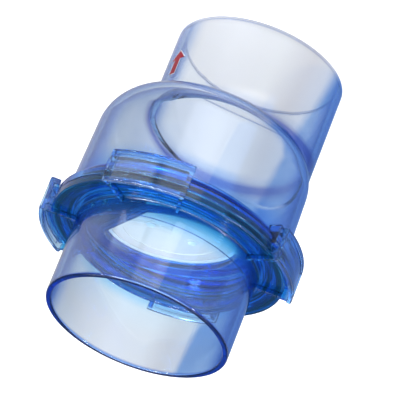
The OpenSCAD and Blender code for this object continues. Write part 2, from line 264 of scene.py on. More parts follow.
def painted_shadow_colour(tree, place, far):
    """The table's colour: a painted shadow that darkens to one side into painted blue shade, and pale paper far
    away.
    """
    across = vector_node(tree, "DOT_PRODUCT", place, SHADOW_SIDE)
    side = math_node(tree, "MULTIPLY_ADD", across, SHADOW_SPREAD, MIDDLE, clamp=True)
    return mix_node(tree, "RGBA", far, colour_ramp(tree, side, SHADOW_STOPS), opaque(FAR_PAPER))


def table_glow(tree, place, distance, far):
    """How strongly the table shines: by distance, darker ahead, and with the bright patches added."""
    ahead = vector_node(tree, "DOT_PRODUCT", place, AHEAD)
    front = mask_ramp(tree, math_node(tree, "ADD", ahead, MIDDLE), AHEAD_STOPS)
    glow = math_node(tree, "MULTIPLY", colour_ramp(tree, distance, TABLE_STOPS),
                     math_node(tree, "MAXIMUM", front, far))
    on_floor = split_place(tree, place)
    towards = math_node(tree, "MULTIPLY", on_floor.outputs["Y"], -1.0)
    bearing = math_node(tree, "ARCTAN2", on_floor.outputs["X"], towards)
    turn = math_node(tree, "DIVIDE", bearing, math.pi)
    for strength, sector_stops, reach_stops in BRIGHT_PATCHES:
        lit = math_node(tree, "MULTIPLY", mask_ramp(tree, turn, sector_stops), strength)
        patch = math_node(tree, "MULTIPLY", lit, mask_ramp(tree, distance, reach_stops))
        glow = math_node(tree, "ADD", glow, patch)
    return glow


def make_floor():
    """White paper, which is all that the camera sees of it directly. What shows through the valve, or mirrored
    in it, is a glowing table in its place: a painted shadow that darkens to one side into painted blue shade,
    a darker front, a bright sector, a light for the claws, and pale paper far away. Diffuse light gets nothing
    from the glow."""
    bpy.ops.mesh.primitive_plane_add(size=FLOOR_SIZE, location=(0.0, 0.0, 0.0))
    floor = bpy.context.object
    floor.name = "floor"
    material, tree, shader = new_material("floor_paper", Roughness=FLOOR_ROUGHNESS)
    place = object_place(tree)
    distance = vector_node(tree, "LENGTH", place)
    far = mask_ramp(tree, distance, FAR_STOPS)
    # Painted shadow of the valve on the table: it colours the glow and the dimmed base colour for every ray but
    # the camera's.
    shadowed_table = painted_shadow_colour(tree, place, far)
    dimmed = vector_node(tree, "SCALE", shadowed_table, TABLE_DIM)
    rays = tree.nodes.new("ShaderNodeLightPath")
    seen = rays.outputs["Is Camera Ray"]
    paper = mix_node(tree, "RGBA", seen, dimmed, opaque(grey(FLOOR_PAPER)))
    lifted = mix_node(tree, "RGBA", seen, shadowed_table, opaque(grey(FLOOR_LIFT)))
    feed(tree, shader.inputs["Base Color"], paper)
    feed(tree, shader.inputs["Emission Color"], lifted)
    glow = mix_node(tree, "FLOAT", seen, table_glow(tree, place, distance, far), 1.0)
    not_diffuse = math_node(tree, "SUBTRACT", 1.0, rays.outputs["Is Diffuse Ray"])
    feed(tree, shader.inputs["Emission Strength"], math_node(tree, "MULTIPLY", glow, not_diffuse))
    floor.data.materials.append(material)


def make_studio():
    scene = bpy.context.scene
    scene.view_settings.view_transform = "Standard"
    scene.cycles.max_bounces = CLEAR_BOUNCES
    scene.cycles.transmission_bounces = CLEAR_BOUNCES
    scene.cycles.glossy_bounces = GLOSSY_BOUNCES
    make_world()
    make_floor()
    for name, numbers in SOFT_BOXES.items():
        soft_box(name, *numbers)


# ---------------------------------------------------------------- materials

CLEAR_IOR = 1.5
RUBBER_IOR = 1.52
CLEAR_TRANSMISSION = 0.97
MILKY_TRANSMISSION = 0.35
# Flow streaks shift the tint's height by up to this share of the valve's height.
SWIRL = 0.015
# The clear plastic is paler where only the claws' thin walls are: beyond this distance from the axis.
CLAW_START = 0.0775
CLAW_FULL = 0.0795
THIN_TINT = (0.66, 0.84, 0.98)
# How an edge deepens as it is looked at more along the surface. A stop's position is a Fresnel value.
GRAZING = ((0.08, (1.0, 1.0, 1.0)), (0.16, (0.5, 0.62, 0.88)), (0.3, (0.14, 0.26, 0.66)),
           (0.5, (0.04, 0.12, 0.5)))
# The blue ring where the spigot's wall shows end-on in the chamber's floor: radius and height in metres.
END_BLUE = (0.002, 0.025, 0.4)
END_RING = ((0.0508, 0.0), (0.0513, 1.0), (0.0556, 1.0), (0.0562, 0.0))
END_LEVEL = ((0.0545, 0.0), (0.056, 1.0), (0.064, 1.0), (0.068, 0.0))
# The band round each pipe end that takes the rim's colour: its edges as shares of the valve's height.
LOW_RIM_TOP = 0.008
HIGH_RIM_LOW = 0.99
HIGH_RIM_FULL = 0.994
# Where the plastic is frosted, inside the joint: share of the valve's height, and distance from the axis.
FROST_LEVEL = ((0.69, 0.0), (0.7, 1.0), (0.745, 1.0), (0.755, 0.0))
FROST_RADIUS = ((0.06, 1.0), (0.062, 0.0))


def new_group(name, inputs, outputs):
    """A shader node group with named sockets. Returns the group and its two end nodes."""
    group = bpy.data.node_groups.new(name, "ShaderNodeTree")
    for label, kind, value in inputs:
        socket = group.interface.new_socket(label, in_out="INPUT", socket_type=kind)
        socket.default_value = value
    for label, kind in outputs:
        group.interface.new_socket(label, in_out="OUTPUT", socket_type=kind)
    return group, group.nodes.new("NodeGroupInput"), group.nodes.new("NodeGroupOutput")


def make_moulding():
    """Moulded surface: slow waves, flow streaks that run up the valve, and a patchy gloss."""
    group, given, out = new_group(
        "moulded_surface",
        [("Wave Scale", "NodeSocketFloat", 40.0), ("Streak Scale", "NodeSocketFloat", 30.0),
         ("Gloss", "NodeSocketFloat", 0.005), ("Dull", "NodeSocketFloat", 0.04)],
        [("Height", "NodeSocketFloat"), ("Roughness", "NodeSocketFloat"), ("Streaks", "NodeSocketFloat")])
    streak_stretch = (1.0, 1.0, 0.16)
    streak_share = 0.6
    place = object_place(group)
    link = group.links.new
    wave = add_node(group, "TexNoise", Detail=2.0, Roughness=0.4)
    link(place, wave.inputs["Vector"])
    link(given.outputs["Wave Scale"], wave.inputs["Scale"])
    stretch = add_node(group, "Mapping", Scale=streak_stretch)
    link(place, stretch.inputs["Vector"])
    streak = add_node(group, "TexNoise", Detail=3.0, Roughness=0.55, Distortion=0.6)
    link(stretch.outputs["Vector"], streak.inputs["Vector"])
    link(given.outputs["Streak Scale"], streak.inputs["Scale"])
    link(streak.outputs["Fac"], out.inputs["Streaks"])
    height = math_node(group, "MULTIPLY_ADD", streak.outputs["Fac"], streak_share, wave.outputs["Fac"])
    link(height, out.inputs["Height"])
    patch = add_node(group, "TexNoise", Scale=18.0, Detail=5.0, Roughness=0.7)
    link(place, patch.inputs["Vector"])
    gloss = add_node(group, "MapRange", From_Min=0.45, From_Max=0.75)
    link(patch.outputs["Fac"], gloss.inputs["Value"])
    link(given.outputs["Gloss"], gloss.inputs["To Min"])
    link(given.outputs["Dull"], gloss.inputs["To Max"])
    link(gloss.outputs["Result"], out.inputs["Roughness"])
    return group


def make_grain():
    """Fine grain for rubber, matt plastic, steel and print: a speckled height and a patchy tone."""
    group, given, out = new_group(
        "fine_grain", [("Grain Scale", "NodeSocketFloat", 2500.0), ("Patch Scale", "NodeSocketFloat", 60.0)],
        [("Height", "NodeSocketFloat"), ("Tone", "NodeSocketFloat")])
    place = object_place(group)
    for label, source, detail in (("Height", "Grain Scale", 1.0), ("Tone", "Patch Scale", 4.0)):
        noise = add_node(group, "TexNoise", Detail=detail, Roughness=0.6)
        group.links.new(place, noise.inputs["Vector"])
        group.links.new(given.outputs[source], noise.inputs["Scale"])
        group.links.new(noise.outputs["Fac"], out.inputs[label])
    return group


def use_group(tree, group, **inputs):
    """Places a node group, with some of its inputs set. An underscore in a name stands for a space."""
    node = add_node(tree, "Group")
    node.node_tree = group
    for name, value in inputs.items():
        node.inputs[name.replace("_", " ")].default_value = value
    return node


def bump(tree, height, shader, strength, distance):
    """Lets a height tilt the surface. The distance is in metres."""
    node = add_node(tree, "Bump", Strength=strength, Distance=distance)
    tree.links.new(height, node.inputs["Height"])
    tree.links.new(node.outputs["Normal"], shader.inputs["Normal"])


def new_material(name, **inputs):
    """A material, its node tree and its Principled shader, with some of the shader's inputs set."""
    material = bpy.data.materials.new(name)
    material.use_nodes = True
    shader = material.node_tree.nodes["Principled BSDF"]
    for label, value in inputs.items():
        shader.inputs[label.replace("_", " ")].default_value = value
    return material, material.node_tree, shader


def shaded(tree, tone, dark, light, low=0.3, high=0.7):
    """A colour that runs from dark to light with a mask."""
    return colour_ramp(tree, tone, ((low, dark), (high, light)))


def from_axis(tree, place, axis_y=0.0):
    """How far each point is from an upright axis, in metres."""
    moved = vector_node(tree, "ADD", place, (0.0, -axis_y * MM, 0.0))
    return vector_node(tree, "LENGTH", vector_node(tree, "MULTIPLY", moved, (1.0, 1.0, 0.0)))


def end_blue(tree, place, height, tint):
    """Deepens the tint where the chamber's floor shows the spigot's wall end-on."""
    ring = mask_ramp(tree, from_axis(tree, place, SPIGOT_Y), END_RING)
    mask = math_node(tree, "MULTIPLY", ring, mask_ramp(tree, height, END_LEVEL))
    return mix_node(tree, "RGBA", mask, tint, opaque(END_BLUE))


def clear_tint(tree, place, radius, streaks, stops, rim):
    """Returns the height as a share of the valve's, and the clear plastic's colour. The colour follows the
    height, swirls with the streaks, is paler in the claws, has its own tint at the pipe's rims, and deepens
    where the surface is seen along itself."""
    metres_up = split_place(tree, place).outputs["Z"]
    height = math_node(tree, "DIVIDE", metres_up, cad_high[2])
    swirl = math_node(tree, "MULTIPLY_ADD", streaks, SWIRL, -SWIRL / 2)
    tint = colour_ramp(tree, math_node(tree, "ADD", height, swirl, clamp=True), stops)
    tint = end_blue(tree, place, metres_up, tint)
    outside = add_node(tree, "MapRange", From_Min=CLAW_START, From_Max=CLAW_FULL)
    tree.links.new(radius, outside.inputs["Value"])
    tint = mix_node(tree, "RGBA", outside.outputs["Result"], tint, opaque(THIN_TINT))
    edge = colour_ramp(tree, height, ((0.0, rim), (LOW_RIM_TOP, grey(1.0)), (HIGH_RIM_LOW, grey(1.0)),
                                      (HIGH_RIM_FULL, rim)))
    tint = mix_node(tree, "RGBA", 1.0, tint, edge, blend="MULTIPLY")
    grazing = colour_ramp(tree, add_node(tree, "Fresnel", IOR=CLEAR_IOR).outputs["Fac"], GRAZING)
    return height, mix_node(tree, "RGBA", 1.0, tint, grazing, blend="MULTIPLY")


def clear_plastic(name, stops, absorb, density, moulding, rim, frost=0.0):
    """Clear blue plastic. Its thickness takes more light away, and frost dulls the inside of the joint."""
    material, tree, shader = new_material(name, Transmission_Weight=CLEAR_TRANSMISSION, IOR=CLEAR_IOR)
    place = object_place(tree)
    radius = from_axis(tree, place)
    surface = use_group(tree, moulding)
    height, tint = clear_tint(tree, place, radius, surface.outputs["Streaks"], stops, rim)
    tree.links.new(tint, shader.inputs["Base Color"])
    frosted = math_node(tree, "MULTIPLY", mask_ramp(tree, height, FROST_LEVEL),
                        mask_ramp(tree, radius, FROST_RADIUS))
    matt = math_node(tree, "MULTIPLY", frosted, frost)
    tree.links.new(math_node(tree, "ADD", surface.outputs["Roughness"], matt), shader.inputs["Roughness"])
    bump(tree, surface.outputs["Height"], shader, strength=0.045, distance=0.001)
    volume = add_node(tree, "VolumeAbsorption", Color=opaque(absorb), Density=density)
    tree.links.new(volume.outputs["Volume"], tree.nodes["Material Output"].inputs["Volume"])
    return material


def pale_plastic(name, dark, light, moulding):
    """Milky clear plastic of the flap and the plate that holds its seal."""
    material, tree, shader = new_material(name, Transmission_Weight=MILKY_TRANSMISSION, IOR=CLEAR_IOR)
    surface = use_group(tree, moulding, Wave_Scale=90.0, Streak_Scale=50.0, Gloss=0.16, Dull=0.32)
    tree.links.new(shaded(tree, surface.outputs["Streaks"], dark, light), shader.inputs["Base Color"])
    tree.links.new(surface.outputs["Roughness"], shader.inputs["Roughness"])
    bump(tree, surface.outputs["Height"], shader, strength=0.2, distance=0.0006)
    return material


def rubber(name, dark, light, grain):
    """Moulded rubber, matt in patches."""
    material, tree, shader = new_material(name, IOR=RUBBER_IOR)
    fine = use_group(tree, grain)
    tree.links.new(shaded(tree, fine.outputs["Tone"], dark, light), shader.inputs["Base Color"])
    tree.links.new(shaded(tree, fine.outputs["Tone"], grey(0.28), grey(0.5)), shader.inputs["Roughness"])
    bump(tree, fine.outputs["Height"], shader, strength=0.25, distance=0.00005)
    return material


def solid_plastic(name, dark, light, grain):
    """Opaque moulded plastic with a light coat of gloss."""
    material, tree, shader = new_material(name, IOR=CLEAR_IOR, Coat_Weight=0.2)
    fine = use_group(tree, grain, Grain_Scale=900.0, Patch_Scale=45.0)
    tree.links.new(shaded(tree, fine.outputs["Tone"], dark, light), shader.inputs["Base Color"])
    tree.links.new(shaded(tree, fine.outputs["Tone"], grey(0.22), grey(0.4)), shader.inputs["Roughness"])
    bump(tree, fine.outputs["Height"], shader, strength=0.2, distance=0.00008)
    return material


def metal(name, dark, light, grain, along):
    """Drawn or turned steel: fine lines along one axis, and a few dull spots."""
    material, tree, shader = new_material(name, Metallic=1.0)
    across_squeeze = 40.0
    lines = add_node(tree, "Mapping", Scale=tuple(1.0 if a else across_squeeze for a in along))
    tree.links.new(object_place(tree), lines.inputs["Vector"])
    drawn = add_node(tree, "TexNoise", Scale=90.0, Detail=3.0)
    tree.links.new(lines.outputs["Vector"], drawn.inputs["Vector"])
    fine = use_group(tree, grain, Patch_Scale=140.0)
    tree.links.new(shaded(tree, fine.outputs["Tone"], dark, light), shader.inputs["Base Color"])
    tree.links.new(shaded(tree, drawn.outputs["Fac"], grey(0.16), grey(0.36)), shader.inputs["Roughness"])
    bump(tree, drawn.outputs["Fac"], shader, strength=0.15, distance=0.00005)
    return material


def ink(name, full, worn, grain):
    """Print ink with a patchy cover and worn specks."""
    material, tree, shader = new_material(name, IOR=CLEAR_IOR, Specular_IOR_Level=0.2)
    fine = use_group(tree, grain, Grain_Scale=1800.0, Patch_Scale=260.0)
    cover = shaded(tree, fine.outputs["Tone"], full, worn, low=0.5, high=0.8)
    tree.links.new(cover, shader.inputs["Base Color"])
    tree.links.new(shaded(tree, fine.outputs["Height"], grey(0.25), grey(0.5)), shader.inputs["Roughness"])
    bump(tree, fine.outputs["Height"], shader, strength=0.2, distance=0.00004)
    return material


# ---------------------------------------------------------------- mesh tools

SHARP = math.radians(32)
ROUND_STEPS = 192
SMALL_STEPS = 48
ROD_STEPS = 64
ARC_STEP = 1.2
MERGE = 0.0005
EDGE_SEGMENTS = 2


def corner_arc(before, at, after, radius):
    """The points that round off one corner of an outline, about ARC_STEP apart."""
    if radius <= 0:
        return [tuple(at)]
    at = Vector(at)
    a = (Vector(before) - at).normalized()
    b = (Vector(after) - at).normalized()
    half = a.angle(b) / 2
    middle = at + (a + b).normalized() * (radius / math.sin(half))
    start = at + a * (radius / math.tan(half)) - middle
    end = at + b * (radius / math.tan(half)) - middle
    turn = math.atan2(start.x * end.y - start.y * end.x, start.dot(end))
    steps = max(4, round(radius * abs(turn) / ARC_STEP))
    points = []
    for i in range(steps + 1):
        c, s = math.cos(turn * i / steps), math.sin(turn * i / steps)
        points.append((middle.x + start.x * c - start.y * s, middle.y + start.x * s + start.y * c))
    return points


def rounded(outline):
    """Plain points of a closed outline that is given as (x, y, corner radius)."""
    points = []
    for i, (x, y, radius) in enumerate(outline):
        before = outline[i - 1][:2]
        after = outline[(i + 1) % len(outline)][:2]
        points += corner_arc(before, (x, y), after, radius)
    return points


def box_outline(x0, y0, x1, y1):
    return [(x0, y0), (x1, y0), (x1, y1), (x0, y1)]


def arc(radius, start, end, steps):
    """Points along an arc round the origin, from one angle to another in degrees."""
    points = []
    for i in range(steps + 1):
        angle = math.radians(start + (end - start) * i / steps)
        points.append((radius * math.cos(angle), radius * math.sin(angle)))
    return points


def clean(shape):
    """Merges points that meet, drops slivers and loose edges, and turns the faces outwards."""
    bmesh.ops.remove_doubles(shape, verts=shape.verts, dist=MERGE * MM)
    bmesh.ops.dissolve_degenerate(shape, edges=shape.edges, dist=MERGE * MM)
    bmesh.ops.delete(shape, geom=[e for e in shape.edges if not e.link_faces], context="EDGES")
    bmesh.ops.recalc_face_normals(shape, faces=shape.faces)


def mesh_piece(name, vertices, faces):
    """A new object from points in millimetres and faces."""
    mesh = bpy.data.meshes.new(name)
    mesh.from_pydata([tuple(c * MM for c in v) for v in vertices], [], faces)
    shape = bmesh.new()
    shape.from_mesh(mesh)
    clean(shape)
    shape.to_mesh(mesh)
    shape.free()
    piece = bpy.data.objects.new(name, mesh)
    bpy.context.scene.collection.objects.link(piece)
    return piece


def skin(name, loops, closed):
    """A surface through loops of equally many points. It ends in caps unless the last loop joins the first."""
    count = len(loops[0])
    faces = []
    for j in range(len(loops) if closed else len(loops) - 1):
        a, b = j * count, (j + 1) % len(loops) * count
        faces += [(a + i, a + (i + 1) % count, b + (i + 1) % count, b + i) for i in range(count)]
    if not closed:
        last = (len(loops) - 1) * count
        faces += [tuple(range(count))[::-1], tuple(last + i for i in range(count))]
    return mesh_piece(name, [p for loop in loops for p in loop], faces)


def turned(name, outline, centre_y=0.0, steps=ROUND_STEPS):
    """A closed outline of (radius, height) turned round an axis along Z."""
    loops = []
    for i in range(steps):
        c, s = math.cos(2 * math.pi * i / steps), math.sin(2 * math.pi * i / steps)
        loops.append([(r * c, centre_y + r * s, z) for r, z in outline])
    return skin(name, loops, closed=True)


def drum(name, radius, low, high, centre_y=0.0, steps=ROUND_STEPS, edge=0.0):
    """A cylinder along Z, with its edges rounded."""
    outline = rounded([(0, low, 0), (radius, low, edge), (radius, high, edge), (0, high, 0)])
    return turned(name, outline, centre_y, steps)


def round_edges(piece, width):
    """Rounds every sharp edge of a piece."""
    shape = bmesh.new()
    shape.from_mesh(piece.data)
    sharp = [e for e in shape.edges if e.calc_face_angle(0) > SHARP]
    bmesh.ops.bevel(shape, geom=sharp, offset=width * MM, segments=EDGE_SEGMENTS, profile=0.5,
                    affect="EDGES", clamp_overlap=True)
    clean(shape)
    shape.to_mesh(piece.data)
    shape.free()
    return piece


def sector(name, outline, start, end, edge, steps=24):
    """An outline of (radius, height) turned from one angle to another, in degrees, with rounded edges."""
    loops = []
    for i in range(steps + 1):
        angle = math.radians(start + (end - start) * i / steps)
        loops.append([(r * math.cos(angle), r * math.sin(angle), z) for r, z in outline])
    return round_edges(skin(name, loops, closed=False), edge)


def slab(name, outline, low, high, edge=0.0):
    """A flat outline of (x, y) given thickness, with rounded edges."""
    piece = skin(name, [[(x, y, z) for x, y in outline] for z in (low, high)], closed=False)
    return round_edges(piece, edge) if edge else piece


def rod(name, radius, start, end, y, z, edge=0.0):
    """A round bar along X."""
    piece = drum(name, radius, start, end, steps=ROD_STEPS, edge=edge)
    piece.data.transform(Matrix.Translation((0, y * MM, z * MM)) @ Matrix.Rotation(math.radians(90), 4, "Y"))
    return piece


def combine(piece, tool, operation):
    """Joins a tool to a piece, cuts it away or keeps what both share, and drops the tool."""
    modifier = piece.modifiers.new("combine", "BOOLEAN")
    modifier.object = tool
    modifier.operation = operation
    modifier.solver = "MANIFOLD"
    scene_state = bpy.context.evaluated_depsgraph_get()
    scene_state.update()
    made = bpy.data.meshes.new_from_object(piece.evaluated_get(scene_state))
    piece.modifiers.clear()
    piece.data = made
    bpy.data.objects.remove(tool)
    return piece


def join(piece, *tools):
    for tool in tools:
        combine(piece, tool, "UNION")
    return piece


def cut(piece, *tools):
    for tool in tools:
        combine(piece, tool, "DIFFERENCE")
    return piece


def finish(piece, body, slot, material, *replaced):
    """Shades a piece, gives it its material and says where it belongs."""
    shape = bmesh.new()
    shape.from_mesh(piece.data)
    clean(shape)
    for face in shape.faces:
        face.smooth = True
    for edge in shape.edges:
        edge.smooth = edge.calc_face_angle(0) < SHARP
    shape.to_mesh(piece.data)
    shape.free()
    weighted = piece.modifiers.new("weighted", "WEIGHTED_NORMAL")
    weighted.keep_sharp = True
    piece.data.materials.clear()
    piece.data.materials.append(material)
    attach(piece, body)
    if replaced:
        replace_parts(piece, *replaced)
    return piece


# ---------------------------------------------------------------- moulded bodies
# Outlines are turned round the valve's axis: (radius, height up from the outlet's end, corner radius).

SPIGOT_Y = -13.1
SPIGOT_R = 55
SPIGOT_BORE = 50.8
SPIGOT_MOUTH = 51.6
SPIGOT_TOP = 82

CHAMBER_WALL = 3.8
CHAMBER_LOW = 54.5
CHAMBER_FOOT_R = 68.4
CHAMBER_R = 70.4
CHAMBER_TOP = 130.5
SHOULDER_ROUND = 28

SOCKET_R = 59
SOCKET_BORE = 55.2
STOP_BORE = 53.6
STOP_TOP = 157
SLEEVE_LOW = 123.8
MOUTH_Z = 203

JOINT_Z = 141.5
FLANGE_R = 76
FLANGE_LOW = 141.8
FLANGE_TOP = 147
PLUG_BORE = 62.4
PLUG_R = 66.2
PLUG_LOW = 130.8

PLUG_RING_R = 65.2
PLUG_RING_Z = 135.8
PLUG_RING_CORD = 2.6
PLUG_GROOVE_R = 63.8
PLUG_GROOVE_HALF = 1.55
FACE_RING_R = 72.7
FACE_RING_Z = 143.6
FACE_RING_CORD = 3.6
FACE_GROOVE_TOP = 145.5
FACE_GROOVE_HALF = 2.05

# The claws' middle angles, and half the angle that each part of a claw or lug spans, in degrees.
CLAWS = (45, 135, 225, 315)
CLAW_HALF = 19
POCKET_HALF = 15.5
GUSSET_AT = 17.5
GUSSET_HALF = 1.0
LUG_FROM = -17
LUG_TO = 22
STOP_FROM = 19.5
STOP_TO = 21.7

CLAW_R = 83
CLAW_BORE = 79.7
CLAW_LOW = 127.7
CLAW_TOP = 151
LIP_BORE = 76.3
LIP_TOP = 131.7
WEB_ROOT = 74.8
WEB_LOW = 142.3
WEB_HIGH = 146.5
# The middle of each claw's outer face is sunk to this radius between these heights.
POCKET_R = 82
POCKET_LOW = 131.4
POCKET_TOP = 148

# Where the lugs, the turning stops and the gussets lie: inner radius, low, outer radius, high.
LUG = (69.2, 132, 79.4, 141)
TURN_STOP = (69.8, 127.7, 79.1, 133.6)
GUSSET = (57.8, 145.8, 80.8, 150.4)


def make_chamber(material):
    """The outlet half: an offset spigot under a round-shouldered chamber, its flange and the locking lugs."""
    outside = [(0, CHAMBER_LOW, 0), (CHAMBER_FOOT_R, CHAMBER_LOW, SHOULDER_ROUND), (CHAMBER_R, CHAMBER_TOP, 3),
               (74.5, 135.5, 1), (FLANGE_R, 136.5, 0.8), (FLANGE_R, JOINT_Z, 0.5), (0, JOINT_Z, 0)]
    floor_top = CHAMBER_LOW + CHAMBER_WALL
    room_r = CHAMBER_R - CHAMBER_WALL
    above = 150
    inside = [(0, floor_top, 0), (CHAMBER_FOOT_R - CHAMBER_WALL, floor_top, SHOULDER_ROUND - CHAMBER_WALL),
              (room_r, CHAMBER_TOP, 0), (room_r, 139.6, 1.5), (room_r + 1, JOINT_Z, 0), (68, above, 0),
              (0, above, 0)]
    spigot = [(0, 0, 0), (SPIGOT_R, 0, 0.7), (SPIGOT_R, 60, 0), (SPIGOT_R + 0.2, SPIGOT_TOP, 0),
              (0, SPIGOT_TOP, 0)]
    past_spigot = SPIGOT_TOP + 0.5
    bore = [(0, -5, 0), (SPIGOT_MOUTH, -5, 0), (SPIGOT_BORE, 0.9, 0.5), (SPIGOT_BORE, past_spigot, 0),
            (0, past_spigot, 0)]
    body = turned("chamber_shell", rounded(outside))
    join(body, turned("spigot", rounded(spigot), SPIGOT_Y))
    for middle in CLAWS:
        lug = sector("lug", box_outline(*LUG), middle + LUG_FROM, middle + LUG_TO, 0.7)
        stop = sector("stop", box_outline(*TURN_STOP), middle + STOP_FROM, middle + STOP_TO, 0.4, steps=4)
        join(body, lug, stop)
    cut(body, turned("chamber_room", rounded(inside)), turned("spigot_bore", rounded(bore), SPIGOT_Y))
    return finish(body, "chamber", "clear_blue_chamber", material, "chamber_body")


def make_inlet(material):
    """The inlet half: pipe socket and stop, flange, plug, sleeve, four claws and the slanted seat plate."""
    groove_low = PLUG_RING_Z - PLUG_GROOVE_HALF
    groove_top = PLUG_RING_Z + PLUG_GROOVE_HALF
    groove_in = FACE_RING_R - FACE_GROOVE_HALF
    groove_out = FACE_RING_R + FACE_GROOVE_HALF
    ring = [(STOP_BORE, SLEEVE_LOW, 0.5), (SOCKET_R, SLEEVE_LOW, 0.8), (SOCKET_R, FLANGE_LOW, 0.8),
            (PLUG_BORE, FLANGE_LOW, 0.8), (PLUG_BORE, PLUG_LOW, 0.6), (PLUG_R, PLUG_LOW, 0.8),
            (PLUG_R, groove_low, 0.2), (PLUG_GROOVE_R, groove_low, 0.3), (PLUG_GROOVE_R, groove_top, 0.3),
            (PLUG_R, groove_top, 0.2), (PLUG_R, FLANGE_LOW, 0.3), (groove_in, FLANGE_LOW, 0.2),
            (groove_in, FACE_GROOVE_TOP, 0.5), (groove_out, FACE_GROOVE_TOP, 0.5), (groove_out, FLANGE_LOW, 0.2),
            (FLANGE_R, FLANGE_LOW, 0.3), (FLANGE_R, FLANGE_TOP, 0.8), (SOCKET_R, FLANGE_TOP, 1.6),
            (SOCKET_R, MOUTH_Z, 1.3), (SOCKET_BORE, MOUTH_Z, 1.0), (SOCKET_BORE, STOP_TOP, 0.4),
            (STOP_BORE, STOP_TOP, 0.6)]
    wall = rounded([(WEB_ROOT, WEB_LOW, 0), (CLAW_BORE, WEB_LOW, 0.8), (CLAW_BORE, LIP_TOP, 0.6),
                    (LIP_BORE, LIP_TOP, 0.5), (LIP_BORE, CLAW_LOW, 0.6), (CLAW_R, CLAW_LOW, 1.4),
                    (CLAW_R, CLAW_TOP, 1.4), (CLAW_BORE, CLAW_TOP, 0.9), (CLAW_BORE, WEB_HIGH, 0.8),
                    (WEB_ROOT, WEB_HIGH, 0)])
    pocket = box_outline(POCKET_R, POCKET_LOW, CLAW_R + 1, POCKET_TOP)
    body = turned("socket", rounded(ring))
    for middle in CLAWS:
        claw = sector("claw", wall, middle - CLAW_HALF, middle + CLAW_HALF, 0.8, steps=32)
        cut(claw, sector("pocket", pocket, middle - POCKET_HALF, middle + POCKET_HALF, 0.35))
        join(body, claw)
        for at in (middle - GUSSET_AT, middle + GUSSET_AT):
            gusset = sector("gusset", box_outline(*GUSSET), at - GUSSET_HALF, at + GUSSET_HALF, 0.5, steps=2)
            join(body, gusset)
    join(body, make_seat())
    return finish(body, "inlet", "clear_blue_inlet", material, "inlet_body")


# ---------------------------------------------------------------- flap, seals and hinge
# The seat's own frame: x along the hinge, z along the seat's normal, and the plate's top face at z = 0.

SEAT_Z = 141.6
SEAT_TILT = 9.5
SEAT = Matrix.Translation((0, 0, SEAT_Z * MM)) @ Matrix.Rotation(math.radians(SEAT_TILT), 4, "X")
SEAT_T = 4
SEAT_BLANK_R = 66
SLEEVE_SPACE_R = 56.3
BRACKET_SPACE_R = 53.3
PORT_R = 42
PORT_CUT = 8.8
PORT_STEPS = 144
PIN_Y = 42.2
PIN_Z = -11.16
PIN_R = 2.0
PIN_HALF = 24.7
HOLE_R = 2.06
HOLE_HALF = 30
KNUCKLE_OUT = 19.2
KNUCKLE_W = 7
KNUCKLE_R = 4.16
EAR_OUT = 22.5
EAR_T = 3
EAR_R = 4.3
RIVET_Y = 15.5
RIVET_HOLE_R = 1.65
FLAP_R = 46
FLAP_LOW = -11.1
FLAP_TOP = -7.7
RIB_LOW = -13.5
RIB_TOP = -10.5
EDGE_RIB_R = 40
RIB_W = 2
LONG_RIB_X = 15.7
LONG_RIB_FROM = -34.5
LONG_RIB_TO = 30.2
ARM_FROM = 29.2
ARM_TOP = -7.9
SEAL_R = 45.5
SEAL_LOW = -7.68
SEAL_TOP = -5.5
BEAD_R = 44.2
BEAD_W = 2
BEAD_TOP = -5.3
RETAINER_R = 39.6
RETAINER_LOW = -7.65
RETAINER_TOP = -5.6
DISH_R = 31
DISH_CUT = 7
DISH_LOW = -6.1
BOSS_R = 4.2
BASE_LOW = -6.4
BASE_TOP = -4.02
BASE_FROM = 38.8
BASE_TO = 50.3
SCREW_X = 5.5
SCREW_Y = 47.26
CLIP_T = 1.0
CLIP_R = 3.8
CLIP_BORE = 2.02
CLIP_OUT_END = 158
CLIP_IN_END = 143
CLIP_STEPS = 48
# A tool that cuts right through a plate runs from well below it to above it.
FAR_BELOW = -20


def d_outline(radius, cut_off=PORT_CUT):
    """A circle with one straight edge on the hinge side. The edge cuts this much off the circle."""
    start = math.degrees(math.asin((radius - cut_off) / radius))
    return arc(radius, start, -180 - start, PORT_STEPS)


def make_seat():
    """The slanted plate with the port and the raised lip that the flap closes on."""
    plate = drum("seat_plate", SEAT_BLANK_R, -SEAT_T, 0)
    join(plate, slab("seat_lip", d_outline(PORT_R + 2), -SEAT_T - 1, 1 - SEAT_T, edge=0.4))
    cut(plate, slab("port", d_outline(PORT_R), -2 * SEAT_T, SEAT_T))
    plate.data.transform(SEAT)
    return combine(plate, drum("sleeve_space", SLEEVE_SPACE_R, 124.5, 156), "INTERSECT")


def on_seat(piece):
    """Takes a piece from the seat's frame to the valve's."""
    piece.data.transform(SEAT)
    return piece


